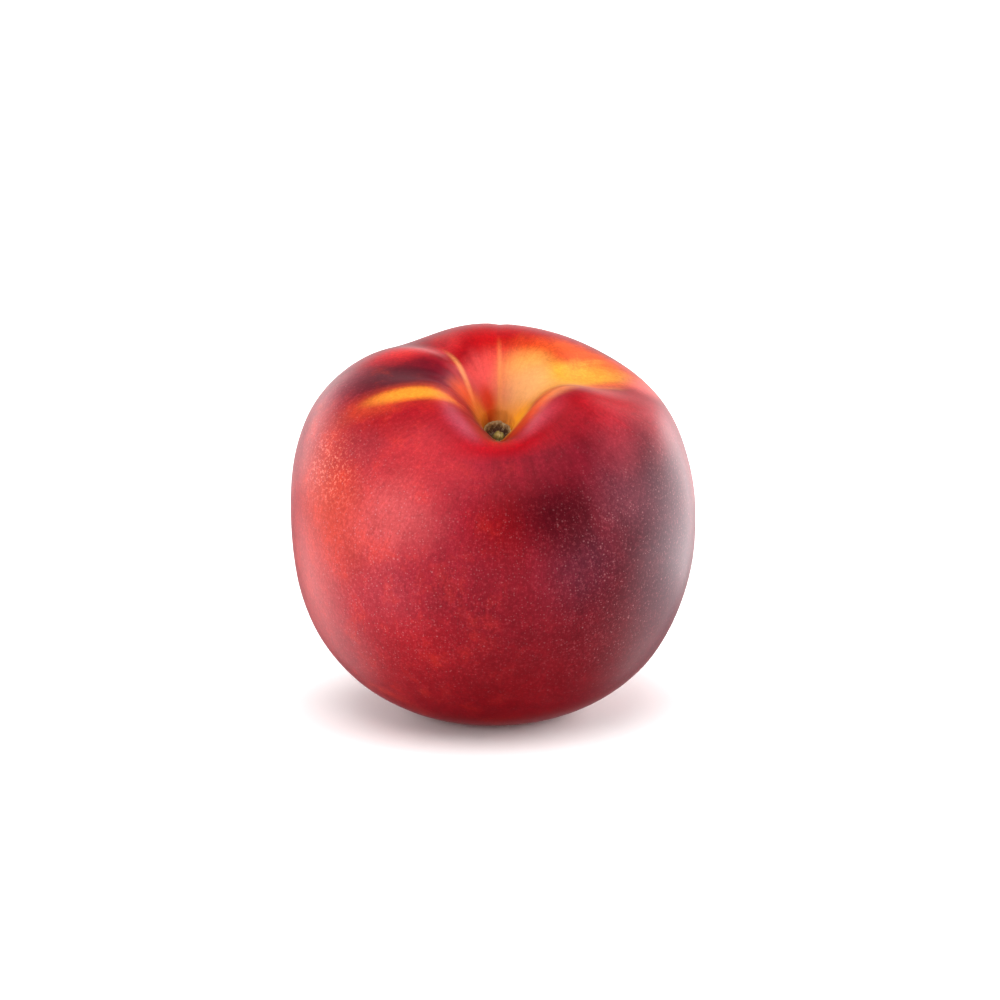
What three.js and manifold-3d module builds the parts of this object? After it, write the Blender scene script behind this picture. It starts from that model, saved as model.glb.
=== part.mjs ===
// A ripe nectarine, resting on its base. Millimetres, +Z up, -Y the side towards which the stalk end leans.
// The origin is on the surface that the fruit rests on, under the middle of its outline.
//
// The fruit is one grown body with a small flat resting spot. The corky scar of its stalk sits in the bottom
// of the stalk cavity. Both are worked out in the fruit's own frame first: its axis runs from the blossom tip
// up to the stalk, "down" is the angle from the stalk end and "around" the angle from the front, both in
// degrees. They are then leaned over together as the fruit lies.

import * as THREE from 'three';
import { mergeVertices } from 'three/addons/utils/BufferGeometryUtils.js';
import Module from 'manifold-3d';

const wasm = await Module();
wasm.setup();

// The body without its cavity: half sizes from its middle, and how much fuller than an egg shape it is
// between the axis and the widest level, on the cheeks and in the plane of the suture.
const CHEEK_RADIUS = 33.8;
const SUTURE_RADIUS = 33.8;
const CROWN_HEIGHT = 31;
const BASE_HEIGHT = 32.6;
const CHEEK_FULLNESS = 0.24;
const SUTURE_FULLNESS = 0.12;

// How it lies: the stalk end leans forward and a little to the right, and the resting spot is pressed flat.
const LEAN_FORWARD = 25.3;
const LEAN_RIGHT = 1.9;
const MIDDLE_HEIGHT = 32.4;

// The stalk cavity, a funnel that is a little narrower from cheek to cheek.
const CAVITY = { depth: 13.3, reach: 7.7, flare: 1.56, narrowing: 0.17 };

// Broad swellings and hollows of the grown body: where each is, how far it spreads and how high it rises.
const SWELLINGS = [
  { name: 'front lip', around: 0, spread: 50, down: 27, reach: 15, rise: -1.7 },
  { name: 'notch in the front lip', around: 4, spread: 24, down: 11, reach: 10, rise: -3.9 },
  { name: 'lip at the front right', around: 59, spread: 30, down: 19, reach: 14, rise: 2.6 },
  { name: 'right cheek', around: 76, spread: 25, down: 40, reach: 14, rise: 1.8 },
  { name: 'hollow pressed by the twig, right', around: 108, spread: 24, down: 27, reach: 13, rise: -2.8 },
  { name: 'back crown', around: 182, spread: 32, down: 36, reach: 15, rise: 0.6 },
  { name: 'cleft along the suture', around: 180, spread: 15, down: 95, reach: 50, rise: -0.7 },
  { name: 'fold at the back left', around: 217, spread: 12, down: 29, reach: 15, rise: -2.1 },
  { name: 'hollow pressed by the twig, left', around: 256, spread: 20, down: 27, reach: 13, rise: -1.6 },
  { name: 'left cheek', around: 269, spread: 33, down: 46, reach: 24, rise: 2.4 },
];
const STALK_FADE = 8;

// The suture line down the back, and the blossom tip at its lower end.
const SUTURE = { around: 180, depth: 0.5, halfWidth: 1.1, starts: 60 };
const TIP = { rise: 1.3, reach: 7 };

// The stalk scar: an oval corky plug with a raised rim and a hollow middle, seated in its own pocket.
const SCAR = { radius: 2.35, stretch: 1.28, bottom: 16.9, rimHeight: 19.2, rimWidth: 0.75, hollow: 0.6 };
const SCAR_GAP = 0.3;
const POCKET_RISE = 6;

// How finely the faces are cut. The columns crowd towards the suture and the rows towards the stalk.
const COLUMNS = 72;
const ROWS = 36;
const SUTURE_CROWDING = 0.4;
const STALK_CROWDING = 1.2;
const SCAR_SIDES = 24;

const { cos, sin, exp, atan2, acos, hypot, PI } = Math;
const { degToRad, radToDeg } = THREE.MathUtils;

// The shortest way round from one direction to another, between -180 and 180 degrees.
function turn(from, to) {
  return ((to - from + 540) % 360) - 180;
}

function bell(distance, spread) {
  return exp(-((distance / spread) ** 2));
}

// How far the surface rises above the plain body, away from the body's middle.
function rise(around, down, rho) {
  let height = 0;
  for (const s of SWELLINGS) {
    height += s.rise * bell(turn(s.around, around), s.spread) * bell(down - s.down, s.reach);
  }
  height *= 1 - bell(down, STALK_FADE);
  const fromSuture = rho * degToRad(turn(SUTURE.around, around));
  height -= SUTURE.depth * bell(fromSuture, SUTURE.halfWidth) * (1 - bell(down, SUTURE.starts));
  return height + TIP.rise * bell(180 - down, TIP.reach);
}

// One point of the skin in the fruit's own frame.
function skin(around, down) {
  const a = degToRad(around);
  const d = degToRad(down);
  const fullness = CHEEK_FULLNESS * sin(a) ** 2 + SUTURE_FULLNESS * cos(a) ** 2;
  const full = 1 + fullness * (sin(d) * cos(d)) ** 2;
  const x = CHEEK_RADIUS * full * sin(d) * sin(a);
  const y = -SUTURE_RADIUS * full * sin(d) * cos(a);
  const rho = hypot(x, y);
  let z = (cos(d) > 0 ? CROWN_HEIGHT : BASE_HEIGHT) * full * cos(d);
  if (cos(d) > 0) {
    const reach = CAVITY.reach * (1 - CAVITY.narrowing * sin(a) ** 2);
    z -= CAVITY.depth * exp(-((rho / reach) ** CAVITY.flare));
  }
  const point = new THREE.Vector3(x, y, z);
  return point.addScaledVector(point.clone().normalize(), rise(around, down, rho));
}

// Leans a shape from the fruit's own frame into the way the fruit lies.
function lean(geometry) {
  geometry.rotateY(degToRad(LEAN_RIGHT));
  geometry.rotateX(degToRad(LEAN_FORWARD));
  return geometry.translate(0, 0, MIDDLE_HEIGHT);
}

function welded(geometry) {
  geometry.deleteAttribute('normal');
  geometry.deleteAttribute('uv');
  return mergeVertices(geometry, 1e-4);
}

function toSolid(geometry) {
  const shell = welded(geometry);
  return new wasm.Manifold(new wasm.Mesh({
    numProp: 3,
    vertProperties: new Float32Array(shell.attributes.position.array),
    triVerts: new Uint32Array(shell.index.array),
  }));
}

function toGeometry(solid) {
  const mesh = solid.getMesh();
  const geometry = new THREE.BufferGeometry();
  geometry.setAttribute('position', new THREE.BufferAttribute(mesh.vertProperties, 3));
  geometry.setIndex(new THREE.BufferAttribute(mesh.triVerts, 1));
  geometry.computeVertexNormals();
  return geometry;
}

// The grown body: a ball whose points are moved out to the skin.
function bodyGeometry() {
  const ball = new THREE.SphereGeometry(1, COLUMNS, ROWS);
  ball.rotateX(PI / 2);
  const points = ball.attributes.position;
  const direction = new THREE.Vector3();
  for (let i = 0; i < points.count; i += 1) {
    direction.fromBufferAttribute(points, i);
    const t = atan2(-direction.x, direction.y);
    const around = SUTURE.around + radToDeg(t - SUTURE_CROWDING * sin(t));
    const down = 180 * (acos(THREE.MathUtils.clamp(direction.z, -1, 1)) / PI) ** STALK_CROWDING;
    const point = skin(around, down);
    points.setXYZ(i, point.x, point.y, point.z);
  }
  return ball;
}

// A round shape about the fruit's axis, stretched to the scar's oval.
function ovalTurning(profile, stretch) {
  const geometry = new THREE.LatheGeometry(profile.map(([r, z]) => new THREE.Vector2(r, z)), SCAR_SIDES);
  geometry.rotateX(PI / 2);
  return geometry.scale(1, stretch, 1);
}

function scarGeometry() {
  const { radius, stretch, bottom, rimHeight, rimWidth, hollow } = SCAR;
  const edge = rimHeight - rimWidth / 2;
  return ovalTurning([
    [0, bottom],
    [radius - rimWidth / 2, bottom],
    [radius, bottom + rimWidth / 2],
    [radius, edge],
    [radius - rimWidth / 2, rimHeight],
    [radius - rimWidth, edge],
    [radius - 2 * rimWidth, rimHeight - hollow],
    [0, rimHeight - hollow],
  ], stretch);
}

// The room that the scar takes in the body, open upwards.
function pocketGeometry() {
  const radius = SCAR.radius + SCAR_GAP;
  const floor = SCAR.bottom - SCAR_GAP;
  const stretch = (SCAR.radius * SCAR.stretch + SCAR_GAP) / radius;
  return ovalTurning([[0, floor], [radius, floor], [radius, floor + POCKET_RISE], [0, floor + POCKET_RISE]], stretch);
}

// Everything below the surface that the fruit rests on.
function groundGeometry() {
  const side = 4 * CHEEK_RADIUS;
  return new THREE.BoxGeometry(side, side, side).translate(0, 0, -side / 2);
}

function fruit() {
  const body = toSolid(lean(bodyGeometry()));
  const hollowed = body.subtract(toSolid(lean(pocketGeometry())));
  const skinMaterial = new THREE.MeshStandardMaterial({ color: 0x9c1c2a, roughness: 0.42, metalness: 0 });
  const mesh = new THREE.Mesh(toGeometry(hollowed.subtract(toSolid(groundGeometry()))), skinMaterial);
  mesh.name = 'fruit';
  return mesh;
}

function stalkScar() {
  const cork = new THREE.MeshStandardMaterial({ color: 0x6b4a24, roughness: 0.85, metalness: 0 });
  const mesh = new THREE.Mesh(lean(scarGeometry()), cork);
  mesh.name = 'stalk_scar';
  return mesh;
}

const nectarine = new THREE.Group();
nectarine.add(fruit(), stalkScar());

// The middle of the outline goes over the origin.
const middle = new THREE.Box3().setFromObject(nectarine).getCenter(new THREE.Vector3());
nectarine.position.set(-middle.x, -middle.y, 0);

export default nectarine;
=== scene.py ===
from math import cos, pi, radians, sin

import bpy
from mathutils import Matrix, Vector, noise


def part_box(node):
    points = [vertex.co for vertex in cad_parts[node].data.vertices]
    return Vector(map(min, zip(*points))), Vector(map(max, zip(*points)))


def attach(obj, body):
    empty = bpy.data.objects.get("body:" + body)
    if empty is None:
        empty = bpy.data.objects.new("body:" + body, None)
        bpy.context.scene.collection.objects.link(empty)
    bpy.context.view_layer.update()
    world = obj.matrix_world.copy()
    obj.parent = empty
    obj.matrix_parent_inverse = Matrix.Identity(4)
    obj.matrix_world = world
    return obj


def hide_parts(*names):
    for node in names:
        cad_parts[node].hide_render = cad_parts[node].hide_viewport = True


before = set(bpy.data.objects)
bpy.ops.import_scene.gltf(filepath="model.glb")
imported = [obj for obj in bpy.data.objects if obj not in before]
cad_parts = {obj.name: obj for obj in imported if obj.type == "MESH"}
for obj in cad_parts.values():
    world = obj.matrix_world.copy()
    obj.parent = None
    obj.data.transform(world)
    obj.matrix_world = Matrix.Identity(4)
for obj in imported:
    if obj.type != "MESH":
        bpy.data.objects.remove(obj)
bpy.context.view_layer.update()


# ---- The fruit --------------------------------------------------------------------------------------------
# One grown body of firm yellow flesh under a thin smooth skin with a wax on it. It is worked out in its own
# frame, with the stalk end up: "down" is the angle from the stalk end and "around" the angle from the front,
# both in degrees. It is then leaned over as it lies, and pressed flat where it rests.

MM = 0.001

# The body without its cavity: its half sizes, and how much fuller than an egg it is on the cheeks and along
# the suture. Then how far it leans, in degrees, how high its middle lies, and how softly it is pressed flat.
CHEEK_RADIUS = 33.8 * MM
SUTURE_RADIUS = 33.8 * MM
CROWN_HEIGHT = 31 * MM
BASE_HEIGHT = 32.6 * MM
CHEEK_FULLNESS = 0.24
SUTURE_FULLNESS = 0.12
LEAN_FORWARD = 25.3
LEAN_RIGHT = 1.9
MIDDLE_HEIGHT = 32.4 * MM
PRESS = 0.6 * MM

# The funnel round the stalk, and the oval seat of the stalk scar at its bottom: its half sizes, how far
# outside them the skin starts to drop, as a share of them, and how high its floor is.
CAVITY_DEPTH = 13.3 * MM
CAVITY_REACH = 7.7 * MM
CAVITY_FLARE = 1.56
CAVITY_NARROWING = 0.17
SEAT = (2.45 * MM, 3.1 * MM)
SEAT_EDGE = 1.1
SEAT_FLOOR = 16.8 * MM

# Broad swellings and hollows: (around, down), (spread, reach), all in degrees, and how high each rises. They
# fade out near the stalk. The suture is a groove from under the crown to the tip.
SWELLINGS = {
    "front lip": ((0, 27), (50, 15), -1.7 * MM),
    "notch in the front lip": ((4, 11), (24, 10), -3.9 * MM),
    "lip at the front right": ((59, 19), (30, 14), 2.6 * MM),
    "right cheek": ((76, 40), (25, 14), 1.8 * MM),
    "hollow pressed by the twig, right": ((108, 27), (24, 13), -2.8 * MM),
    "back crown": ((182, 36), (32, 15), 0.6 * MM),
    "cleft along the suture": ((180, 95), (15, 50), -0.7 * MM),
    "fold at the back left": ((217, 29), (12, 15), -2.1 * MM),
    "hollow pressed by the twig, left": ((256, 27), (20, 13), -1.6 * MM),
    "left cheek": ((269, 46), (33, 24), 2.4 * MM),
}
STALK_FADE = 8
SUTURE_AROUND = 180
SUTURE_DEPTH = 0.5 * MM
SUTURE_HALF_WIDTH = 1.1 * MM
SUTURE_STARTS = 60
TIP_RISE = 1.3 * MM
TIP_REACH = 7

# The skin isn't quite even: it heaves gently, and pleats run out of the cavity. They are deepest a little way
# down from the stalk.
HEAVE = 0.35 * MM
HEAVE_LENGTH = 17 * MM
PLEATS = 0.32 * MM
PLEATS_AROUND = 15
PLEATS_MIDDLE = 12
PLEATS_REACH = 9
UNEVENNESS_SEED = 4.0

# How finely the mesh is cut. The columns crowd towards the suture and the rows towards the stalk.
COLUMNS = 360
ROWS = 220
SUTURE_CROWDING = 0.4
STALK_CROWDING = 1.35


def add(tree, kind, links=(), **settings):
    """Adds a node with its settings. Its inputs, by place or by name, take a value, a node or a socket."""
    node = tree.nodes.new(kind)
    for name, value in settings.items():
        setattr(node, name, value)
    shown = [socket for socket in node.inputs if socket.enabled]
    for place, value in links.items() if isinstance(links, dict) else enumerate(links):
        socket = shown[place] if isinstance(place, int) else next(s for s in shown if s.name == place)
        if isinstance(value, bpy.types.Node):
            value = next(s for s in value.outputs if s.enabled)
        if isinstance(value, bpy.types.NodeSocket):
            tree.links.new(value, socket)
        elif value is not None:
            socket.default_value = value
    return node


def new_tree(name, kind, takes, gives):
    """A node tree with its named inputs and outputs, and the sockets that its inputs come from."""
    tree = bpy.data.node_groups.new(name, kind)
    for side, sockets in (("INPUT", takes), ("OUTPUT", gives)):
        for label, sort in sockets.items():
            tree.interface.new_socket(label, in_out=side, socket_type="NodeSocket" + sort)
    return tree, add(tree, "NodeGroupInput").outputs


# A bell: 1 in the middle, falling to nothing some way past its spread.
bell, given = new_tree(
    "Bell", "GeometryNodeTree", {"Distance": "Float", "Spread": "Float"}, {"Height": "Float"}
)
share = add(bell, "ShaderNodeMath", [given["Distance"], given["Spread"]], operation="DIVIDE")
square = add(bell, "ShaderNodeMath", [share, share], operation="MULTIPLY")
fall = add(bell, "ShaderNodeMath", [square, -1.0], operation="MULTIPLY")
add(bell, "NodeGroupOutput", {"Height": add(bell, "ShaderNodeMath", [fall], operation="EXPONENT")})

# A swelling: a bell both around and down, measured the short way round.
swelling, given = new_tree(
    "Swelling",
    "GeometryNodeTree",
    {"Height": "Float", "Around": "Float", "Down": "Float", "Middle around": "Float",
     "Middle down": "Float", "Spread": "Float", "Reach": "Float", "Rise": "Float"},
    {"Height": "Float"},
)
apart = add(swelling, "ShaderNodeMath", [given["Around"], given["Middle around"]], operation="SUBTRACT")
apart = add(swelling, "ShaderNodeMath", [apart, pi, -pi], operation="WRAP")
below = add(swelling, "ShaderNodeMath", [given["Down"], given["Middle down"]], operation="SUBTRACT")
across = add(swelling, "GeometryNodeGroup", node_tree=bell,
             links={"Distance": apart, "Spread": given["Spread"]})
along = add(swelling, "GeometryNodeGroup", node_tree=bell,
            links={"Distance": below, "Spread": given["Reach"]})
both = add(swelling, "ShaderNodeMath", [across, along], operation="MULTIPLY")
higher = add(swelling, "ShaderNodeMath", [both, given["Rise"], given["Height"]], operation="MULTIPLY_ADD")
add(swelling, "NodeGroupOutput", {"Height": higher})

# The whole body: a ball whose points are moved out to the skin.
BODY_SIZES = {
    "Columns": ("Int", COLUMNS),
    "Rows": ("Int", ROWS),
    "Cheek radius": ("Float", CHEEK_RADIUS),
    "Suture radius": ("Float", SUTURE_RADIUS),
    "Crown height": ("Float", CROWN_HEIGHT),
    "Base height": ("Float", BASE_HEIGHT),
    "Cheek fullness": ("Float", CHEEK_FULLNESS),
    "Suture fullness": ("Float", SUTURE_FULLNESS),
    "Cavity depth": ("Float", CAVITY_DEPTH),
    "Cavity reach": ("Float", CAVITY_REACH),
    "Cavity flare": ("Float", CAVITY_FLARE),
    "Cavity narrowing": ("Float", CAVITY_NARROWING),
    "Suture depth": ("Float", SUTURE_DEPTH),
    "Suture half width": ("Float", SUTURE_HALF_WIDTH),
    "Tip rise": ("Float", TIP_RISE),
    "Heave": ("Float", HEAVE),
    "Heave length": ("Float", HEAVE_LENGTH),
    "Pleats": ("Float", PLEATS),
    "Middle height": ("Float", MIDDLE_HEIGHT),
    "Press": ("Float", PRESS),
    "Seed": ("Float", UNEVENNESS_SEED),
}
body, given = new_tree(
    "Fruit body",
    "GeometryNodeTree",
    {"Geometry": "Geometry", "Skin": "Material", **{name: sort for name, (sort, _) in BODY_SIZES.items()}},
    {"Geometry": "Geometry"},
)

ball = add(body, "GeometryNodeMeshUVSphere",
           {"Segments": given["Columns"], "Rings": given["Rows"], "Radius": 1.0})
on_ball = add(body, "ShaderNodeSeparateXYZ", [add(body, "GeometryNodeInputPosition")])

# Around and down, in radians: the columns crowd towards the suture and the rows towards the stalk.
leftward = add(body, "ShaderNodeMath", [on_ball.outputs["X"], -1.0], operation="MULTIPLY")
from_back = add(body, "ShaderNodeMath", [leftward, on_ball.outputs["Y"]], operation="ARCTAN2")
swing = add(body, "ShaderNodeMath", [from_back], operation="SINE")
crowded = add(body, "ShaderNodeMath", [swing, -SUTURE_CROWDING, from_back], operation="MULTIPLY_ADD")
around = add(body, "ShaderNodeMath", [crowded, pi], operation="ADD")
plain_down = add(body, "ShaderNodeMath", [on_ball.outputs["Z"]], operation="ARCCOSINE")
down_share = add(body, "ShaderNodeMath", [plain_down, pi], operation="DIVIDE")
down_share = add(body, "ShaderNodeMath", [down_share, STALK_CROWDING], operation="POWER")
down = add(body, "ShaderNodeMath", [down_share, pi], operation="MULTIPLY")

# The bearing is the direction that around and down stand for, and the plain body is an egg along it.
sin_down = add(body, "ShaderNodeMath", [down], operation="SINE")
cos_down = add(body, "ShaderNodeMath", [down], operation="COSINE")
sin_around = add(body, "ShaderNodeMath", [around], operation="SINE")
cos_around = add(body, "ShaderNodeMath", [around], operation="COSINE")
rightward = add(body, "ShaderNodeMath", [sin_around, sin_down], operation="MULTIPLY")
frontward = add(body, "ShaderNodeMath", [cos_around, sin_down], operation="MULTIPLY")
backward = add(body, "ShaderNodeMath", [frontward, -1.0], operation="MULTIPLY")
bearing = add(body, "ShaderNodeCombineXYZ", [rightward, backward, cos_down])
upper = add(body, "ShaderNodeMath", [cos_down, 0.0], operation="GREATER_THAN")
height = add(body, "GeometryNodeSwitch", input_type="FLOAT", links={
    "Switch": upper, "False": given["Base height"], "True": given["Crown height"]})
half_sizes = add(body, "ShaderNodeCombineXYZ", [given["Cheek radius"], given["Suture radius"], height])
squares = add(body, "ShaderNodeVectorMath", [bearing, bearing], operation="MULTIPLY")
fullness = add(body, "ShaderNodeCombineXYZ", [given["Cheek fullness"], given["Suture fullness"], 0.0])
fuller = add(body, "ShaderNodeVectorMath", [squares, fullness], operation="DOT_PRODUCT").outputs["Value"]
cos_square = add(body, "ShaderNodeMath", [cos_down, cos_down], operation="MULTIPLY")
full = add(body, "ShaderNodeMath", [fuller, cos_square, 1.0], operation="MULTIPLY_ADD")
egg = add(body, "ShaderNodeVectorMath", [bearing, half_sizes], operation="MULTIPLY")
egg = add(body, "ShaderNodeVectorMath", {"Vector": egg, "Scale": full}, operation="SCALE")

# The cavity sinks the stalk end.
flat = add(body, "ShaderNodeVectorMath", [egg, (1.0, 1.0, 0.0)], operation="MULTIPLY")
from_axis = add(body, "ShaderNodeVectorMath", [flat], operation="LENGTH").outputs["Value"]
sideways = add(body, "ShaderNodeMath", [sin_around, sin_around], operation="MULTIPLY")
narrower = add(body, "ShaderNodeMath", [sideways, given["Cavity narrowing"]], operation="MULTIPLY")
narrower = add(body, "ShaderNodeMath", [1.0, narrower], operation="SUBTRACT")
reach = add(body, "ShaderNodeMath", [given["Cavity reach"], narrower], operation="MULTIPLY")
share = add(body, "ShaderNodeMath", [from_axis, reach], operation="DIVIDE")
share = add(body, "ShaderNodeMath", [share, given["Cavity flare"]], operation="POWER")
share = add(body, "ShaderNodeMath", [share, -1.0], operation="MULTIPLY")
share = add(body, "ShaderNodeMath", [share], operation="EXPONENT")
sunk = add(body, "ShaderNodeMath", [share, given["Cavity depth"]], operation="MULTIPLY")
sunk = add(body, "ShaderNodeMath", [sunk, upper], operation="MULTIPLY")
sunk = add(body, "ShaderNodeMath", [sunk, -1.0], operation="MULTIPLY")
sunk = add(body, "ShaderNodeCombineXYZ", [0.0, 0.0, sunk])
plain = add(body, "ShaderNodeVectorMath", [egg, sunk], operation="ADD")

# Swellings and hollows, fading out towards the stalk.
risen = None
for name, ((middle_around, middle_down), (spread, reach_down), rise) in SWELLINGS.items():
    risen = add(body, "GeometryNodeGroup", node_tree=swelling, label=name, links={
        "Height": risen, "Around": around, "Down": down,
        "Middle around": radians(middle_around), "Middle down": radians(middle_down),
        "Spread": radians(spread), "Reach": radians(reach_down), "Rise": rise})
stalk_bell = add(body, "GeometryNodeGroup", node_tree=bell,
                 links={"Distance": down, "Spread": radians(STALK_FADE)})
off_stalk = add(body, "ShaderNodeMath", [1.0, stalk_bell], operation="SUBTRACT")
risen = add(body, "ShaderNodeMath", [risen, off_stalk], operation="MULTIPLY")

# The suture line down the back, and the blossom tip.
from_suture = add(body, "ShaderNodeMath", [around, radians(SUTURE_AROUND)], operation="SUBTRACT")
from_suture = add(body, "ShaderNodeMath", [from_suture, pi, -pi], operation="WRAP")
from_suture = add(body, "ShaderNodeMath", [from_suture, from_axis], operation="MULTIPLY")
groove = add(body, "GeometryNodeGroup", node_tree=bell,
             links={"Distance": from_suture, "Spread": given["Suture half width"]})
start = add(body, "GeometryNodeGroup", node_tree=bell,
            links={"Distance": down, "Spread": radians(SUTURE_STARTS)})
start = add(body, "ShaderNodeMath", [1.0, start], operation="SUBTRACT")
groove = add(body, "ShaderNodeMath", [groove, start], operation="MULTIPLY")
groove = add(body, "ShaderNodeMath", [groove, given["Suture depth"]], operation="MULTIPLY")
risen = add(body, "ShaderNodeMath", [risen, groove], operation="SUBTRACT")
from_tip = add(body, "ShaderNodeMath", [pi, down], operation="SUBTRACT")
tip = add(body, "GeometryNodeGroup", node_tree=bell,
          links={"Distance": from_tip, "Spread": radians(TIP_REACH)})
risen = add(body, "ShaderNodeMath", [tip, given["Tip rise"], risen], operation="MULTIPLY_ADD")

# The gentle heave of the whole skin, and the pleats that run out of the cavity. A noise lies between 0 and 1,
# so each is centred and doubled to reach its full height both ways.
finer = add(body, "ShaderNodeMath", [1.0, given["Heave length"]], operation="DIVIDE")
heave = add(body, "ShaderNodeTexNoise", {"Vector": egg, "W": given["Seed"], "Scale": finer, "Detail": 1.0},
            noise_dimensions="4D")
heave = add(body, "ShaderNodeMath", [heave, 0.5], operation="SUBTRACT")
heave = add(body, "ShaderNodeMath", [heave, given["Heave"]], operation="MULTIPLY")
heave = add(body, "ShaderNodeMath", [heave, 2.0], operation="MULTIPLY")
heave = add(body, "ShaderNodeMath", [heave, off_stalk, risen], operation="MULTIPLY_ADD")
compass = add(body, "ShaderNodeVectorMath", [flat], operation="NORMALIZE")
pleats = add(body, "ShaderNodeTexNoise",
             {"Vector": compass, "W": given["Seed"], "Scale": PLEATS_AROUND / pi, "Detail": 2.0},
             noise_dimensions="4D")
pleats = add(body, "ShaderNodeMath", [pleats, 0.5], operation="SUBTRACT")
pleats = add(body, "ShaderNodeMath", [pleats, given["Pleats"]], operation="MULTIPLY")
pleats = add(body, "ShaderNodeMath", [pleats, 2.0], operation="MULTIPLY")
from_pleats = add(body, "ShaderNodeMath", [down, radians(PLEATS_MIDDLE)], operation="SUBTRACT")
where = add(body, "GeometryNodeGroup", node_tree=bell,
            links={"Distance": from_pleats, "Spread": radians(PLEATS_REACH)})
risen = add(body, "ShaderNodeMath", [pleats, where, heave], operation="MULTIPLY_ADD")
outward = add(body, "ShaderNodeVectorMath", [plain], operation="NORMALIZE")
skin_point = add(body, "ShaderNodeVectorMath", {"Vector": outward, "Scale": risen}, operation="SCALE")
skin_point = add(body, "ShaderNodeVectorMath", [plain, skin_point], operation="ADD")

# The seat of the scar drops straight down to its floor.
seat_share = add(body, "ShaderNodeVectorMath", [skin_point, (1 / SEAT[0], 1 / SEAT[1], 0.0)],
                 operation="MULTIPLY")
seat_share = add(body, "ShaderNodeVectorMath", [seat_share], operation="LENGTH").outputs["Value"]
seated = add(body, "ShaderNodeMapRange", {"Value": seat_share, "From Min": SEAT_EDGE, "From Max": 1.0},
             interpolation_type="SMOOTHSTEP")
seated = add(body, "ShaderNodeMath", [seated, upper], operation="MULTIPLY")
skin_parts = add(body, "ShaderNodeSeparateXYZ", [skin_point])
dropped = add(body, "ShaderNodeMix", {"Factor": seated, "A": skin_parts.outputs["Z"], "B": SEAT_FLOOR})
skin_point = add(body, "ShaderNodeCombineXYZ", [skin_parts.outputs["X"], skin_parts.outputs["Y"], dropped])

# Each point keeps its bearing, which the skin's colours go by. Then the body is leaned over and pressed flat.
marked = add(body, "GeometryNodeStoreNamedAttribute", {"Geometry": ball, "Name": "bearing", "Value": bearing},
             data_type="FLOAT_VECTOR", domain="POINT")
grown = add(body, "GeometryNodeSetPosition", {"Geometry": marked, "Position": skin_point})
LEAN = Matrix.Rotation(radians(LEAN_FORWARD), 3, "X") @ Matrix.Rotation(radians(LEAN_RIGHT), 3, "Y")
lying = add(body, "GeometryNodeTransform", {
    "Geometry": grown, "Rotation": LEAN.to_euler(),
    "Translation": add(body, "ShaderNodeCombineXYZ", [0.0, 0.0, given["Middle height"]])})
place = add(body, "ShaderNodeSeparateXYZ", [add(body, "GeometryNodeInputPosition")])
pressed = add(body, "ShaderNodeMath", [place.outputs["Z"], 0.0, given["Press"]], operation="SMOOTH_MAX")
pressed = add(body, "ShaderNodeCombineXYZ", [place.outputs["X"], place.outputs["Y"], pressed])
resting = add(body, "GeometryNodeSetPosition", {"Geometry": lying, "Position": pressed})
smooth = add(body, "GeometryNodeSetShadeSmooth", {"Geometry": resting, "Shade Smooth": True})
real = add(body, "GeometryNodeRealizeInstances", {"Geometry": smooth})
finished = add(body, "GeometryNodeSetMaterial", {"Geometry": real, "Material": given["Skin"]})
add(body, "NodeGroupOutput", {"Geometry": finished})


def colour(hex_value):
    """An sRGB hex value as linear RGBA."""
    parts = [int(hex_value[i:i + 2], 16) / 255 for i in (1, 3, 5)]
    return tuple(p / 12.92 if p <= 0.04045 else ((p + 0.055) / 1.055) ** 2.4 for p in parts) + (1.0,)


# Ripe nectarine skin: a yellow ground under red blush that the sun raised, with a thin wax over it. The eye
# reads a soft wide gloss, pale rims, colour that runs in streaks from stalk to tip, and fine pale flecks.
skin = bpy.data.materials.new("waxy_nectarine_skin")
skin.use_nodes = True
tree = skin.node_tree
tree.nodes.clear()

# How large the patterns are. The streaks are counted round the fruit, and are stretched towards the tip.
GRAIN = 0.5 * MM
FIBRE_WIDTH = 0.3 * MM
FIBRE_LENGTH = 1.3 * MM
MOTTLE_LENGTH = 5 * MM
STREAKS_AROUND = 26
STREAK_FLATTENING = 0.22

# Spacing, largest radius and strength of each size of fleck. A share of the flecks is hardly there, and their
# edges are ragged.
FLECKS = [(0.42 * MM, 0.16 * MM, 0.46), (0.68 * MM, 0.22 * MM, 0.48)]
FLECKS_MISSING = 0.25
SMALLEST_FLECK = 0.02
FLECK_RAGGEDNESS = 0.5

# The middle of the crackled patch, (around, down), and how far it reaches as a share of the fruit's radius.
CRACKLE_MIDDLE = (294, 54)
CRACKLE_REACH = 0.25

# How far the edges of the strokes stray with the mottling and with the streaks, as a share of the radius. A
# stroke whose half width is no more than FINE_STROKE, in degrees, keeps its clear edges.
MOTTLE_STRAY = 0.12
STREAK_STRAY = 0.1
FINE_STROKE = 4

# What follows a noise: the values that it starts at and is full at, and what it gives at each.
RED_IN_STREAKS = (0.35, 0.65, 0.0, 1.0)
ORANGE_IN_CLOUDS = (0.52, 0.66, 0.0, 1.0)
MOTTLED = (0.3, 0.7, 0.84, 1.16)
FIBROUS = (0.3, 0.7, 0.88, 1.12)
GRAINY = (0.35, 0.7, 0.83, 1.2)
PALE_GRAIN = (0.54, 0.72, 0.0, 0.25)
CREAM_SPOTS = (0.54, 0.66, 0.0, 0.5)

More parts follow.
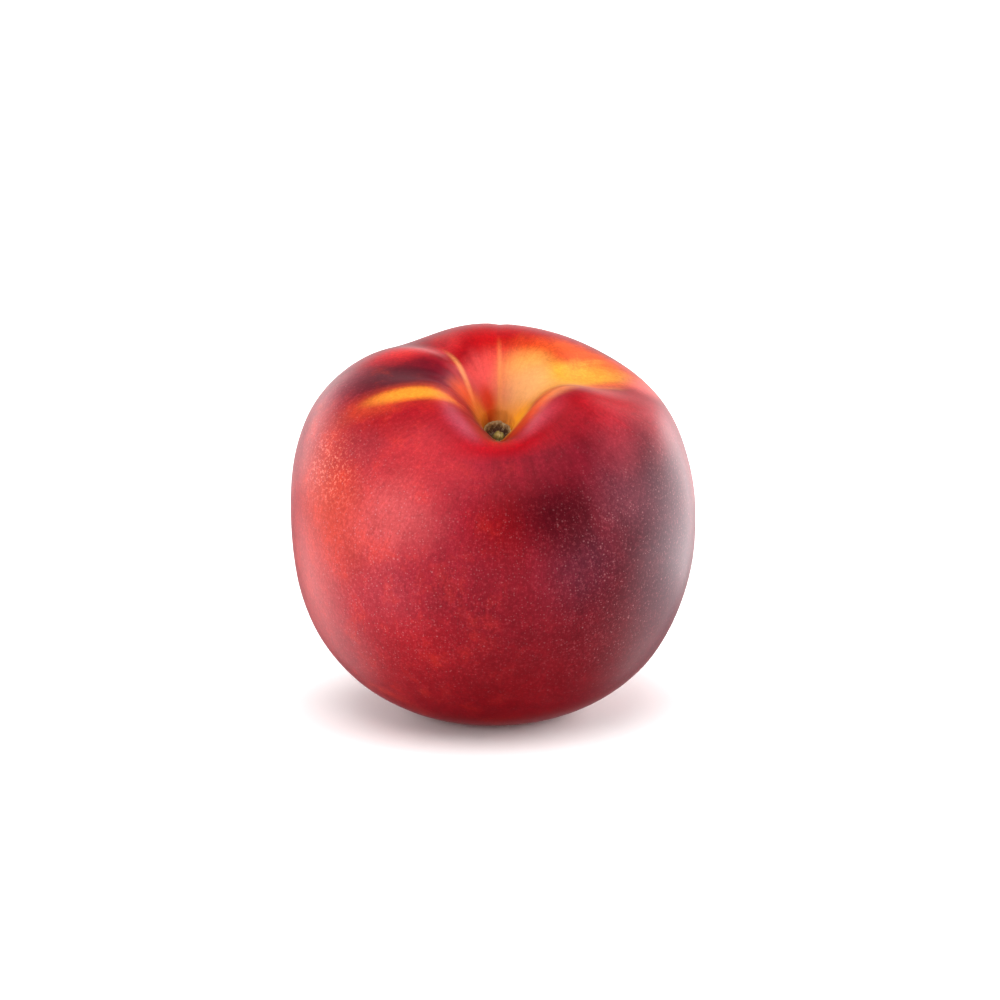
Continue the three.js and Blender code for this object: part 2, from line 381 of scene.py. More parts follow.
# What follows the place, in the same way. On the ball of bearings Z is 1 at the stalk and 0 half way down, X
# is 1 at the right and -1 at the left, and Y is 1 at the back.
LESS_STRAY_BY_STALK = (0.998, 0.9, 0.1, 1.0)
MORE_STRAY_BEHIND = (0.3, 0.7, 1.0, 3.0)
MORE_ORANGE_LEFT = (0.2, -0.5, 0.02, 0.24)
EVEN_BY_STALK = (0.998, 0.93, 0.25, 1.0)
NO_FLECKS_BY_STALK = (0.93, 0.6, 0.0, 1.0)
FEWER_FLECKS_BELOW = (-0.3, 0.1, 0.7, 1.0)
MORE_FLECKS_AT_SIDES = (0.15, 0.55, 0.5, 1.0)
MORE_FLECKS_LEFT = (0.25, -0.25, 0.66, 1.0)

# Strokes of colour, the later over the earlier: start and end as (around, down), half width in degrees, how
# soft the edge is, colour and strength. Most are the skin's own colours. The ones named as painted put a
# highlight, sheen, reflection or light into the colour.
STROKES = {
    "red front left": ((282, 62), (338, 72), 44, 0.9, "#A02430", 0.9),
    # Painted sheen: the pale rim of the left flank, where the skin grazes the light.
    "painted pale sheen on the left flank": ((294, 68), (300, 108), 13, 0.9, "#B84C4A", 0.75),
    "orange cheek": ((287, 46), (312, 74), 13, 0.9, "#B83620", 0.85),
    "red above the left cheek": ((300, 36), (335, 42), 12, 0.9, "#B2262C", 0.8),
    # Partly painted highlight: the soft pink gleam of the high front-left box, over a paler patch of the
    # skin.
    "painted pink highlight at the front left": ((313, 50), (331, 62), 11, 0.9, "#BC4A4A", 0.75),
    "maroon front right": ((30, 66), (84, 84), 48, 0.9, "#2C0813", 0.93),
    "maroon below right": ((8, 100), (70, 106), 27, 0.9, "#440612", 0.8),
    "quieter red in the middle": ((0, 50), (8, 72), 12, 0.9, "#74101C", 0.5),
    "deep red under the lip": ((352, 47), (14, 51), 9, 0.9, "#740008", 0.93),
    "plum to the right of the middle": ((32, 52), (20, 74), 9, 0.9, "#3A1A28", 0.6),
    "dark core": ((8, 46), (34, 52), 9, 0.8, "#42000A", 0.95),
    "clear red below left": ((326, 82), (354, 98), 10, 0.9, "#B4101A", 0.6),
    "paler red at the lower left": ((322, 72), (336, 84), 8, 0.9, "#A43A44", 0.45),
    # Painted reflection: the grey haze of the right-hand box on the waxy skin.
    "painted grey reflection on the right": ((62, 48), (66, 104), 15, 0.9, "#38222C", 0.8),
    "deep crimson below": ((335, 110), (30, 110), 32, 0.9, "#6C0008", 0.92),
    "redder below left": ((312, 96), (340, 116), 16, 0.9, "#900814", 0.7),
    "crimson front lip": ((325, 22), (56, 20), 8, 0.6, "#9C020E", 0.95),
    "red arc under the lip": ((338, 28), (34, 26), 3.5, 0.9, "#AE0010", 0.85),
    "bright red by the scar": ((350, 23), (12, 22), 2.6, 0.9, "#C8101C", 0.8),
    # Painted sheen: a paler pink along the rounded lip of the cavity, where it catches the light.
    "painted sheen on the lip, left": ((300, 17), (340, 22), 3, 0.9, "#B0465A", 0.55),
    "painted sheen on the lip, right": ((18, 20), (58, 18), 3, 0.9, "#C44A5A", 0.6),
    "crimson ridge on the right": ((58, 27), (84, 32), 6, 0.8, "#7C0A16", 0.9),
    "crimson right shoulder": ((52, 22), (104, 39), 11, 0.8, "#A20A16", 0.88),
    "grey under the right cheek": ((42, 43), (54, 58), 7, 0.9, "#66303C", 0.45),
    "pinkish red on the right cheek": ((48, 35), (66, 40), 7, 0.9, "#A83844", 0.35),
    "pale red at the upper right": ((70, 46), (98, 46), 6, 0.9, "#B8484E", 0.25),
    # Painted sheen: the grey-pink haze of gloss on the upper left shoulder.
    "painted grey-pink sheen at the upper left": ((254, 38), (272, 44), 5, 0.9, "#9A3A48", 0.7),
    "crimson under the stripe": ((298, 18), (292, 40), 7, 0.8, "#980812", 0.9),
    "plum patch on the left": ((290, 43), (310, 45), 5, 0.9, "#8A2834", 0.5),
    "red back crown": ((222, 32), (142, 32), 13, 0.8, "#AE040C", 0.97),
    "bright red left of the crown": ((248, 38), (213, 28), 5, 0.9, "#D8242A", 0.8),
    "orange funnel": ((225, 13), (165, 15), 5, 0.9, "#D84E48", 0.9),
    "orange past the band": ((160, 20), (116, 46), 5.5, 0.9, "#D8521C", 0.9),
    "golden back of the funnel": ((172, 14), (132, 20), 4, 0.8, "#EC9A44", 0.9),
    "golden band": ((118, 6), (112, 40), 6, 0.5, "#E09430", 1.0),
    # The yellow band's heart, paler than its own colour where it paints the bright reflection on the funnel's
    # back wall.
    "band's heart, paler with a painted highlight": ((172, 10), (106, 16), 5, 0.8, "#EAA868", 0.85),
    "plum above the stripe": ((268, 41), (250, 14), 7, 0.7, "#52081A", 0.95),
    "glow round the stripe": ((284, 38), (288, 14), 3.6, 0.9, "#CC4A20", 0.8),
    "crimson below the stripe": ((298, 21), (296, 31), 3.2, 0.9, "#980416", 0.7),
    "golden stripe": ((283, 34), (290, 15), 2.2, 0.6, "#E88E28", 1.0),
    "orange cavity wall": ((236, 12), (265, 8), 4, 0.8, "#D44E22", 0.85),
    # The yellow ground round the stalk, made brighter than its own colour to paint light into the deep
    # funnel's shade.
    "golden collar, lightened as painted light": ((230, 6), (60, 7), 5, 0.7, "#FFA434", 0.9),
    "red by the lip": ((20, 13), (84, 14), 3, 0.9, "#DC4A22", 0.85),
    "gold right of the scar": ((30, 7), (110, 7), 2.6, 0.7, "#F8A824", 0.9),
    "red to the right of the scar": ((34, 9), (58, 10), 1.8, 0.9, "#D03A10", 0.75),
    "orange over the right lip": ((64, 13), (86, 20), 2.4, 0.9, "#F08440", 0.75),
    "red edge of the band": ((98, 26), (106, 40), 2, 0.9, "#D44A2A", 0.7),
    "pink end of the band": ((104, 40), (110, 50), 3.5, 0.9, "#D8605C", 0.7),
    "red wedge": ((206, 10), (200, 5), 2.1, 0.7, "#C42C08", 0.9),
    # Painted highlight: a thin pale line where light catches the ridge of a crease.
    "painted highlight on a crease": ((218, 24), (236, 9), 0.8, 0.9, "#F0A05A", 0.55),
    "pale suture": ((180, 20), (174, 6), 0.6, 0.9, "#F0A050", 0.3),
    "suture groove": ((180, 46), (180, 150), 2, 0.9, "#4C0818", 0.4),
    "golden blossom end": ((200, 160), (340, 172), 14, 0.9, "#C87C2A", 0.8),
    "orange back left": ((222, 70), (250, 110), 20, 0.9, "#B8341E", 0.7),
    "orange back right": ((122, 66), (158, 138), 17, 0.9, "#B43E20", 0.6),
    "golden streak at the back right": ((128, 74), (152, 134), 8, 0.9, "#CC8032", 0.75),
}

# One stroke: full colour inside its oval, fading over its edge.
stroke, given = new_tree(
    "Stroke of colour",
    "ShaderNodeTree",
    {"Colour": "Color", "Bearing": "Vector", "Middle": "Vector", "Turn": "Vector", "Half sizes": "Vector",
     "Inner edge": "Float", "Outer edge": "Float", "Stroke colour": "Color", "Strength": "Float"},
    {"Colour": "Color"},
)
within = add(stroke, "ShaderNodeMapping", vector_type="TEXTURE", links={
    "Vector": given["Bearing"], "Location": given["Middle"], "Rotation": given["Turn"],
    "Scale": given["Half sizes"]})
within = add(stroke, "ShaderNodeVectorMath", [within], operation="LENGTH").outputs["Value"]
cover = add(stroke, "ShaderNodeMapRange", interpolation_type="SMOOTHSTEP", links={
    "Value": within, "From Min": given["Outer edge"], "From Max": given["Inner edge"]})
cover = add(stroke, "ShaderNodeMath", [cover, given["Strength"]], operation="MULTIPLY")
mixed = add(stroke, "ShaderNodeMix", data_type="RGBA", links={
    "Factor": cover, "A": given["Colour"], "B": given["Stroke colour"]})
add(stroke, "NodeGroupOutput", {"Colour": mixed})


def bearing_of(around, down):
    """The direction that around and down stand for."""
    level = sin(radians(down))
    return Vector((level * sin(radians(around)), -level * cos(radians(around)), cos(radians(down))))


# How deep a stroke's oval reaches into the ball, and out of it.
STROKE_DEPTH = 0.6


def laid(start, end, half_width):
    """The middle, turn and half sizes of a stroke on the skin, all on a ball of radius 1."""
    first, last = bearing_of(*start), bearing_of(*end)
    middle = (first + last).normalized()
    half_length = (last - first).length / 2
    lengthways = (last - first).cross(middle).cross(middle).normalized() * -1
    turned = Matrix((lengthways, middle.cross(lengthways), middle)).transposed().to_euler()
    return middle, turned, (half_length, radians(half_width), STROKE_DEPTH)


seen = add(tree, "ShaderNodeTexCoord").outputs["Object"]
kept = add(tree, "ShaderNodeAttribute", attribute_name="bearing", attribute_type="GEOMETRY")
bearing = kept.outputs["Vector"]
rightward, backward, upward = add(tree, "ShaderNodeSeparateXYZ", [bearing]).outputs
level = add(tree, "ShaderNodeVectorMath", [bearing, (1.0, 1.0, 0.0)], operation="MULTIPLY")
compass = add(tree, "ShaderNodeVectorMath", [level], operation="NORMALIZE")
compass_x, compass_y, _ = add(tree, "ShaderNodeSeparateXYZ", [compass]).outputs

# The streaks and the mottling, which also push the edges of the strokes about: hardly by the stalk, where the
# colours have clear edges, and most on the back.
flattened = add(tree, "ShaderNodeMath", [upward, STREAK_FLATTENING], operation="MULTIPLY")
streak_place = add(tree, "ShaderNodeCombineXYZ", [compass_x, compass_y, flattened])
streaks = add(tree, "ShaderNodeTexNoise", {"Vector": streak_place, "Scale": STREAKS_AROUND / pi,
                                           "Detail": 4.0, "Roughness": 0.6})
mottle = add(tree, "ShaderNodeTexNoise", {"Vector": seen, "Scale": 1 / MOTTLE_LENGTH, "Detail": 8.0,
                                          "Roughness": 0.72})
wander = add(tree, "ShaderNodeVectorMath", [mottle.outputs["Color"], (0.5, 0.5, 0.5)], operation="SUBTRACT")
wander = add(tree, "ShaderNodeVectorMath", {"Vector": wander, "Scale": MOTTLE_STRAY}, operation="SCALE")
fray = add(tree, "ShaderNodeVectorMath", [streaks.outputs["Color"], (0.5, 0.5, 0.5)], operation="SUBTRACT")
fray = add(tree, "ShaderNodeVectorMath", {"Vector": fray, "Scale": STREAK_STRAY}, operation="SCALE")
calm = add(tree, "ShaderNodeMapRange", [upward, *LESS_STRAY_BY_STALK])
wild = add(tree, "ShaderNodeMapRange", [backward, *MORE_STRAY_BEHIND])
roaming = add(tree, "ShaderNodeMath", [calm, wild], operation="MULTIPLY")
strayed = add(tree, "ShaderNodeVectorMath", [wander, fray], operation="ADD")
strayed = add(tree, "ShaderNodeVectorMath", {"Vector": strayed, "Scale": roaming}, operation="SCALE")
strayed = add(tree, "ShaderNodeVectorMath", [bearing, strayed], operation="ADD")

# The blush: two reds in streaks, and the strokes over them.
streaked = add(tree, "ShaderNodeMapRange", [streaks, *RED_IN_STREAKS])
blush = add(tree, "ShaderNodeMix", {"Factor": streaked, "A": colour("#6C0616"), "B": colour("#860C20")},
            data_type="RGBA")
for name, (start, end, half_width, softness, tone, strength) in STROKES.items():
    middle, turned, half_sizes = laid(start, end, half_width)
    blush = add(tree, "ShaderNodeGroup", node_tree=stroke, label=name, links={
        "Colour": blush, "Bearing": strayed if half_width > FINE_STROKE else bearing,
        "Middle": middle, "Turn": turned, "Half sizes": half_sizes,
        "Inner edge": 1 - softness, "Outer edge": 1 + softness, "Stroke colour": colour(tone),
        "Strength": strength})

# Mottling: small clouds of the blush are more orange, most of all on the left.
orange = add(tree, "ShaderNodeMapRange", [rightward, *MORE_ORANGE_LEFT])
clouds = add(tree, "ShaderNodeMapRange", [mottle, *ORANGE_IN_CLOUDS])
clouds = add(tree, "ShaderNodeMath", [clouds, orange], operation="MULTIPLY")
blush = add(tree, "ShaderNodeMix", {"Factor": clouds, "A": blush, "B": colour("#C4320C")}, data_type="RGBA")

# The blush is lighter and darker in small clouds, in fine fibres under the skin that run from stalk to tip,
# and in a fine grain. It is more even by the stalk.
flattened = add(tree, "ShaderNodeMath", [upward, FIBRE_WIDTH / FIBRE_LENGTH], operation="MULTIPLY")
fibre_place = add(tree, "ShaderNodeCombineXYZ", [compass_x, compass_y, flattened])
fibres = add(tree, "ShaderNodeTexNoise", {"Vector": fibre_place, "Scale": CHEEK_RADIUS / FIBRE_WIDTH,
                                          "Detail": 2.0, "Roughness": 0.7})
grain = add(tree, "ShaderNodeTexNoise", {"Vector": seen, "Scale": 1 / GRAIN, "Detail": 3.0,
                                         "Roughness": 0.75})
mottled = add(tree, "ShaderNodeMapRange", [mottle, *MOTTLED])
fibrous = add(tree, "ShaderNodeMapRange", [fibres, *FIBROUS])
grainy = add(tree, "ShaderNodeMapRange", [grain, *GRAINY])
uneven = add(tree, "ShaderNodeMath", [mottled, fibrous], operation="MULTIPLY")
uneven = add(tree, "ShaderNodeMath", [uneven, grainy], operation="MULTIPLY")
free = add(tree, "ShaderNodeMapRange", [upward, *EVEN_BY_STALK])
uneven = add(tree, "ShaderNodeMix", {"Factor": free, "A": 1.0, "B": uneven})
blush = add(tree, "ShaderNodeVectorMath", {"Vector": blush, "Scale": uneven}, operation="SCALE")

# Flecks: pale pores in two sizes, with a pale grain between them. They are thickest on the left flank.
low_enough = add(tree, "ShaderNodeMapRange", [upward, *NO_FLECKS_BY_STALK])
high_enough = add(tree, "ShaderNodeMapRange", [upward, *FEWER_FLECKS_BELOW])
sideward = add(tree, "ShaderNodeMath", [rightward], operation="ABSOLUTE")
sideward = add(tree, "ShaderNodeMapRange", [sideward, *MORE_FLECKS_AT_SIDES])
leftward = add(tree, "ShaderNodeMapRange", [rightward, *MORE_FLECKS_LEFT])
thickness = add(tree, "ShaderNodeMath", [low_enough, sideward], operation="MULTIPLY")
thickness = add(tree, "ShaderNodeMath", [thickness, high_enough], operation="MULTIPLY")
thickness = add(tree, "ShaderNodeMath", [thickness, leftward], operation="MULTIPLY")
pale_grain = add(tree, "ShaderNodeMapRange", [grain, *PALE_GRAIN])
pale_grain = add(tree, "ShaderNodeMath", [pale_grain, thickness], operation="MULTIPLY")
skin_colour = add(tree, "ShaderNodeMix", {"Factor": pale_grain, "A": blush, "B": colour("#BC6468")},
                  data_type="RGBA")
for spacing, radius, strength in FLECKS:
    cells = add(tree, "ShaderNodeTexVoronoi", {"Vector": seen, "Scale": 1 / spacing}, feature="F1")
    size = add(tree, "ShaderNodeSeparateColor", [cells.outputs["Color"]])
    size = add(tree, "ShaderNodeMapRange", [size, FLECKS_MISSING, 1.0, SMALLEST_FLECK, radius / spacing])
    ragged = add(tree, "ShaderNodeMath", [grain, FLECK_RAGGEDNESS, cells.outputs["Distance"]],
                 operation="MULTIPLY_ADD")
    ragged = add(tree, "ShaderNodeMath", [ragged, FLECK_RAGGEDNESS / 2], operation="SUBTRACT")
    fleck = add(tree, "ShaderNodeMath", [ragged, size], operation="DIVIDE")
    fleck = add(tree, "ShaderNodeMapRange", [fleck, 1.0, 0.0, 0.0, strength])
    fleck = add(tree, "ShaderNodeMath", [fleck, thickness], operation="MULTIPLY")
    skin_colour = add(tree, "ShaderNodeMix", {"Factor": fleck, "A": skin_colour, "B": colour("#D08488")},
                      data_type="RGBA")

# A patch of the left cheek is crackled, with small irregular cream spots.
crackle = add(tree, "ShaderNodeVectorMath", [strayed, bearing_of(*CRACKLE_MIDDLE)], operation="DISTANCE")
crackle = add(tree, "ShaderNodeMapRange", [crackle.outputs["Value"], CRACKLE_REACH, 0.0, 0.0, 1.0],
              interpolation_type="SMOOTHSTEP")
spots = add(tree, "ShaderNodeMapRange", [grain, *CREAM_SPOTS])
crackle = add(tree, "ShaderNodeMath", [crackle, spots], operation="MULTIPLY")
skin_colour = add(tree, "ShaderNodeMix", {"Factor": crackle, "A": skin_colour, "B": colour("#F09A80")},
                  data_type="RGBA")

# The skin is smooth but for a relief as fine as the grain.
relief = add(tree, "ShaderNodeTexNoise", {"Vector": seen, "Scale": 1 / GRAIN, "Detail": 2.0})
relief = add(tree, "ShaderNodeBump", {"Strength": 0.12, "Distance": 0.05 * MM, "Height": relief})
shader = add(tree, "ShaderNodeBsdfPrincipled", {
    "Base Color": skin_colour, "Roughness": 0.4, "IOR": 1.37, "Specular Tint": (1.0, 0.45, 0.5, 1.0),
    "Sheen Weight": 0.1, "Sheen Roughness": 0.2, "Sheen Tint": (1.0, 0.92, 0.93, 1.0), "Normal": relief})
add(tree, "ShaderNodeOutputMaterial", {"Surface": shader})

fruit = bpy.data.objects.new("nectarine_fruit", bpy.data.meshes.new("seed"))
bpy.context.scene.collection.objects.link(fruit)
growing = fruit.modifiers.new("Fruit body", "NODES")
growing.node_group = body
sockets = {item.name: item.identifier for item in body.interface.items_tree if item.in_out == "INPUT"}
growing[sockets["Skin"]] = skin
for name, (_, value) in BODY_SIZES.items():
    growing[sockets[name]] = value
grown_mesh = bpy.data.meshes.new_from_object(fruit.evaluated_get(bpy.context.evaluated_depsgraph_get()))
fruit.modifiers.clear()
fruit.data = grown_mesh
grown_mesh.name = "nectarine_fruit"

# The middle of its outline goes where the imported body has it.
corners = [[v.co[axis] for v in grown_mesh.vertices] for axis in (0, 1)]
packed_low, packed_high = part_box("fruit")
shift = Vector((0.0, 0.0, 0.0))
for axis, places in enumerate(corners):
    shift[axis] = (packed_low[axis] + packed_high[axis]) / 2 - (min(places) + max(places)) / 2
grown_mesh.transform(Matrix.Translation(shift))
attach(fruit, "root")
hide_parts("fruit")


# ---- The stalk scar ---------------------------------------------------------------------------------------
# Where the stalk broke off: an oval plug of dry cork in its seat, with a raised tan rim, a dark trough inside
# it and, off its middle, a paler mound of old vessels.

SCAR_RADIUS = 2.35 * MM
SCAR_STRETCH = 1.28
SCAR_BOTTOM = 16.9 * MM
SCAR_SIDES = 112
SCAR_RAGGEDNESS = 0.05

# How far off the middle the mound sits, to the right and to the back, and how far out that shift reaches, as
# a share of the radius.
MOUND_MIDDLE = (0.45 * MM, -0.75 * MM)
MOUND_REACH = 0.8

# The lumps in the cork, coarse and fine: how close together they are, how fast they change outwards, and how
# high they stand beside a part's roughness. The fine ones are closer together towards the rim.
COARSE_LUMPS = (1.6, 3, 1.8)
COARSE_SEED = 5.0
FINE_LUMPS = (3.5, 9, 1.6)
FINE_SEED = 3.0
FINE_AT_MIDDLE = 0.4

# The notch in the rim: its middle and half width in degrees, its depth in mm, and where the rim starts.
NOTCH_AROUND = 62
NOTCH_HALF_WIDTH = 20
NOTCH_DEPTH = 0.45
RIM_STARTS = 0.7

# Share of the radius, height over the bottom in mm, and how rough that part is in mm.
SCAR_PROFILE = [
    (0.0, 1.75, 0.1), (0.07, 1.78, 0.1), (0.14, 1.85, 0.12), (0.2, 1.9, 0.14), (0.28, 1.85, 0.16),
    (0.34, 1.7, 0.16), (0.4, 1.45, 0.14), (0.46, 1.2, 0.12), (0.52, 1.0, 0.1), (0.58, 0.95, 0.1),
    (0.64, 1.1, 0.1), (0.7, 1.4, 0.12), (0.76, 1.8, 0.14), (0.81, 2.1, 0.16), (0.86, 2.28, 0.18),
    (0.91, 2.3, 0.18), (0.95, 2.15, 0.14), (0.98, 1.85, 0.1), (1.0, 1.4, 0.06), (1.0, 0.6, 0.03),
    (0.9, 0.0, 0.0), (0.5, 0.0, 0.0),
]


def scar_point(turn, share, height, wobble):
    """A point of the scar in the fruit's own frame, roughened by a fixed noise."""
    spot = Vector((cos(turn), sin(turn), 0.0))
    coarse_closeness, coarse_change, coarse_height = COARSE_LUMPS
    fine_closeness, fine_change, fine_height = FINE_LUMPS
    coarse = noise.noise(spot * coarse_closeness + Vector((COARSE_SEED, share * coarse_change, 0.0)))
    closeness = fine_closeness * (FINE_AT_MIDDLE + share)
    fine = noise.noise(spot * closeness + Vector((0.0, share * fine_change, FINE_SEED)))
    from_notch = abs(turn - radians(NOTCH_AROUND)) / radians(NOTCH_HALF_WIDTH)
    notch = NOTCH_DEPTH * max(0.0, 1 - from_notch) if share > RIM_STARTS else 0.0
    radius = SCAR_RADIUS * share * (1 + SCAR_RAGGEDNESS * coarse * min(1, share * 2))
    lift = wobble * (coarse_height * coarse + fine_height * fine) - notch
    inward = max(0.0, 1 - share / MOUND_REACH) if height else 0.0
    return Vector((radius * cos(turn) + MOUND_MIDDLE[0] * inward,
                   radius * SCAR_STRETCH * sin(turn) + MOUND_MIDDLE[1] * inward,
                   SCAR_BOTTOM + max(0.0, height + lift) * MM))


# The profile is turned into rings, from the mound out over the rim and down to the bottom. Each point keeps
# its share of the radius for the colours, and the bottom counts as the rim.
points, shares, faces = [], [], []
for share, height, wobble in SCAR_PROFILE[1:]:
    for side in range(SCAR_SIDES):
        points.append(scar_point(2 * pi * side / SCAR_SIDES, share, height, wobble if height else 0.0))
        shares.append(share if height else 1.0)
rings = len(SCAR_PROFILE) - 1
for ring in range(rings - 1):
    for side in range(SCAR_SIDES):
        after = (side + 1) % SCAR_SIDES
        faces.append((ring * SCAR_SIDES + side, (ring + 1) * SCAR_SIDES + side,
                      (ring + 1) * SCAR_SIDES + after, ring * SCAR_SIDES + after))
points += [scar_point(0.0, 0.0, SCAR_PROFILE[0][1], 0.0), Vector((0.0, 0.0, SCAR_BOTTOM))]
shares += [0.0, 1.0]
for side in range(SCAR_SIDES):
    after = (side + 1) % SCAR_SIDES
    faces.append((len(points) - 2, side, after))
    faces.append((len(points) - 1, (rings - 1) * SCAR_SIDES + after, (rings - 1) * SCAR_SIDES + side))
scar_mesh = bpy.data.meshes.new("nectarine_stalk_scar")
scar_mesh.from_pydata([LEAN @ p + Vector((0.0, 0.0, MIDDLE_HEIGHT)) + shift for p in points], [], faces)
scar_mesh.attributes.new("outward", "FLOAT", "POINT").data.foreach_set("value", shares)
scar_mesh.polygons.foreach_set("use_smooth", [True] * len(faces))
scar_mesh.update()

# Dry cork: matt and a little flaky, tan on the rim, reddish dark in the trough, olive with cream specks on
# the mound. The tan of the rim and the cream specks strewn over the whole plug are partly painted highlights,
# and the dark of the trough is partly painted shade. Its tones go by the share of the radius, and stray from
# it with the flakes.
CORK_TONES = {
    0.05: "#B8A468", 0.2: "#9A8644", 0.32: "#7A6A2C", 0.44: "#54361A", 0.56: "#381812",
    0.7: "#4E2E14", 0.8: "#8A6840", 0.9: "#AA8C60", 0.98: "#86602E",
}
FLAKE = 0.45 * MM
TONE_STRAY = 0.3
CREAM_SPECKS_AND_HIGHLIGHTS = (0.52, 0.7, 0.0, 0.45)
cork = bpy.data.materials.new("dry_stalk_cork")
cork.use_nodes = True
tree = cork.node_tree
tree.nodes.clear()
seen = add(tree, "ShaderNodeTexCoord").outputs["Object"]
outward = add(tree, "ShaderNodeAttribute", attribute_name="outward", attribute_type="GEOMETRY").outputs["Fac"]
flakes = add(tree, "ShaderNodeTexNoise", {"Vector": seen, "Scale": 1 / FLAKE, "Detail": 5.0,
                                          "Roughness": 0.65})
strayed = add(tree, "ShaderNodeMath", [flakes, 0.5], operation="SUBTRACT")
strayed = add(tree, "ShaderNodeMath", [strayed, TONE_STRAY, outward], operation="MULTIPLY_ADD")
tones = add(tree, "ShaderNodeValToRGB", {"Fac": strayed})
ramp = tones.color_ramp
for place, tone in CORK_TONES.items():
    stop = ramp.elements.new(place)
    stop.color = colour(tone)
ramp.elements.remove(ramp.elements[0])
ramp.elements.remove(ramp.elements[-1])
# Cream specks all over the plug, which partly paint the highlights on its rim.
specks_and_highlights = add(tree, "ShaderNodeMapRange", [flakes, *CREAM_SPECKS_AND_HIGHLIGHTS])
cork_colour = add(tree, "ShaderNodeMix", {"Factor": specks_and_highlights, "A": tones, "B": colour("#D0B890")},
                  data_type="RGBA")
relief = add(tree, "ShaderNodeBump", {"Strength": 0.6, "Distance": 0.15 * MM, "Height": flakes})
shader = add(tree, "ShaderNodeBsdfPrincipled", {"Base Color": cork_colour, "Roughness": 0.85, "IOR": 1.5,
                                                "Normal": relief})
add(tree, "ShaderNodeOutputMaterial", {"Surface": shader})

scar = bpy.data.objects.new("nectarine_stalk_scar", scar_mesh)
bpy.context.scene.collection.objects.link(scar)
scar_mesh.materials.append(cork)
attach(scar, "root")
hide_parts("stalk_scar")


# ---- The floor --------------------------------------------------------------------------------------------
# A plain milky acrylic table whose glow is painted light: it glows by itself, not at all right round the
# fruit and rising to full further off, so that it reads white all over but for the fruit's shadow. The light
# of the
# low boxes comes through it: it doesn't show in the skin's gloss and casts no shadow.

FLOOR_HALF = 6.0

# The table's painted glow, by the distance from the fruit's middle: where it starts, where it is full, and
# how bright it is at each.
NEAR_GLOW = (0.015, 0.05, 0.0, 0.4)
FAR_GLOW = (0.05, 0.6, 0.0, 0.6)
floor_mesh = bpy.data.meshes.new("floor")
floor_mesh.from_pydata([(x, y, 0.0) for x, y in ((-1, -1), (1, -1), (1, 1), (-1, 1))], [], [(0, 1, 2, 3)])
floor_mesh.transform(Matrix.Scale(FLOOR_HALF, 4))
floor = bpy.data.objects.new("floor", floor_mesh)
floor.visible_glossy = False
floor.visible_shadow = False
bpy.context.scene.collection.objects.link(floor)
acrylic = bpy.data.materials.new("white_acrylic_table")
acrylic.use_nodes = True
tree = acrylic.node_tree
tree.nodes.clear()
seen = add(tree, "ShaderNodeTexCoord").outputs["Object"]
away = add(tree, "ShaderNodeVectorMath", [seen], operation="LENGTH").outputs["Value"]
near_glow = add(tree, "ShaderNodeMapRange", [away, *NEAR_GLOW], interpolation_type="SMOOTHSTEP")
far_glow = add(tree, "ShaderNodeMapRange", [away, *FAR_GLOW], interpolation_type="SMOOTHSTEP")
glow = add(tree, "ShaderNodeMath", [near_glow, far_glow], operation="ADD")
shader = add(tree, "ShaderNodeBsdfPrincipled", {
    "Base Color": colour("#FAF6F6"), "Roughness": 0.6, "Emission Color": (1.0, 1.0, 1.0, 1.0),
    "Emission Strength": glow})
add(tree, "ShaderNodeOutputMaterial", {"Surface": shader})
floor_mesh.materials.append(acrylic)


# ---- Studio light and camera ------------------------------------------------------------------------------
# Large soft boxes on both sides, one high at the front left and one overhead. Dimmer ones stand low, under
# the milky table, and behind, and give the skin its pale rims. The room is white up to a little over the
# horizon, with a dim ceiling.

# Each box: where it stands, its width and height, its brightness beside the white floor's 1, and what it
# lights. "surface" is light on the surface alone, "gloss" is a reflection alone.
BOXES = {
    "high_front_left": ((-0.48, -0.5, 0.32), (0.36, 0.28), 4.25, "both"),
    "right_side": ((0.55, 0.06, 0.16), (0.9, 0.5), 5.6, "surface"),
    "right_side_sheen": ((0.5, 0.3, 0.0), (0.7, 0.42), 3.3, "gloss"),
    "high_right": ((0.42, 0.3, 0.5), (0.3, 0.25), 3.0, "gloss"),
    "left_side": ((-0.5, 0.22, 0.16), (0.5, 0.4), 2.8, "both"),
    "overhead": ((-0.08, -0.3, 0.76), (0.78, 0.62), 3.4, "surface"),
    "low_left": ((-0.5, 0.3, -0.3), (0.5, 0.4), 1.6, "gloss"),
    "low_right": ((0.5, 0.24, -0.3), (0.6, 0.4), 1.5, "gloss"),
    "behind_left": ((-0.5, 0.8, 0.3), (0.5, 0.4), 1.6, "gloss"),
    "backdrop": ((0.0, 1.1, 0.2), (3.2, 0.9), 1.0, "gloss"),
    "high_behind": ((0.0, 0.5, 0.6), (0.8, 0.3), 0.3, "gloss"),
}
LOOKED_AT = Vector((0.0, 0.0, 0.034))
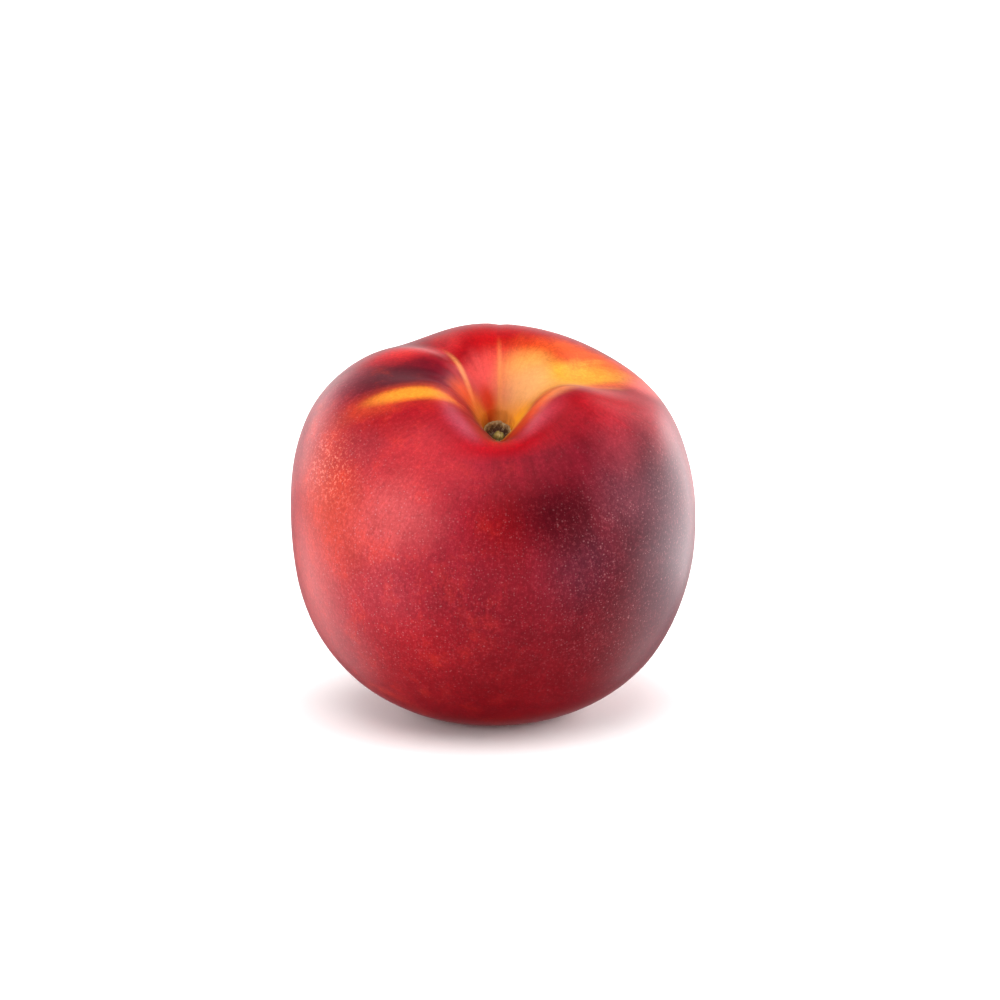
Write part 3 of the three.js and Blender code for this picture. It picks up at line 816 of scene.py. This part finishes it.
for name, (stand, (width, height), brightness, lights) in BOXES.items():
    lamp = bpy.data.lights.new(name, "AREA")
    lamp.shape, lamp.size, lamp.size_y = "RECTANGLE", width, height
    lamp.energy = brightness * pi * width * height
    soft_box = bpy.data.objects.new(name, lamp)
    soft_box.location = stand
    soft_box.rotation_euler = (LOOKED_AT - Vector(stand)).to_track_quat("-Z", "Y").to_euler()
    soft_box.visible_camera = False
    soft_box.visible_glossy = lights != "surface"
    soft_box.visible_diffuse = lights != "gloss"
    bpy.context.scene.collection.objects.link(soft_box)

# The room's light by how steeply one looks up: where the wall ends, where the ceiling starts, and how bright
# each is.
ROOM_LIGHT = (0.22, 0.5, 1.08, 0.15)
room = bpy.data.worlds.new("room")
bpy.context.scene.world = room

# In the skin's gloss, the boxes behind stand in for the room.
room.cycles_visibility.glossy = False
room.use_nodes = True
tree = room.node_tree
tree.nodes.clear()
direction = add(tree, "ShaderNodeTexCoord").outputs["Generated"]
upward = add(tree, "ShaderNodeSeparateXYZ", [direction]).outputs["Z"]
dimming = add(tree, "ShaderNodeMapRange", [upward, *ROOM_LIGHT], interpolation_type="SMOOTHSTEP")
sky = add(tree, "ShaderNodeBackground", {"Color": (1.0, 1.0, 1.0, 1.0), "Strength": dimming})
add(tree, "ShaderNodeOutputWorld", {"Surface": sky})

# The camera looks down a little on the front. Its lens is in mm, on a full frame.
CAMERA_DISTANCE = 0.48
CAMERA_ELEVATION = 13
AIM = Vector((1.1 * MM, 0.1 * MM, 36.2 * MM))
LENS = 103.2
FRAME_WIDTH = 36
lens = bpy.data.cameras.new("camera")
lens.lens = LENS
lens.sensor_width = FRAME_WIDTH
lens.clip_start, lens.clip_end = 0.01, 50
camera = bpy.data.objects.new("camera", lens)
backwards = Vector((0.0, -cos(radians(CAMERA_ELEVATION)), sin(radians(CAMERA_ELEVATION))))
camera.location = AIM + backwards * CAMERA_DISTANCE
camera.rotation_euler = (-backwards).to_track_quat("-Z", "Y").to_euler()
bpy.context.scene.collection.objects.link(camera)
bpy.context.scene.camera = camera
bpy.context.scene.view_settings.view_transform = "Standard"
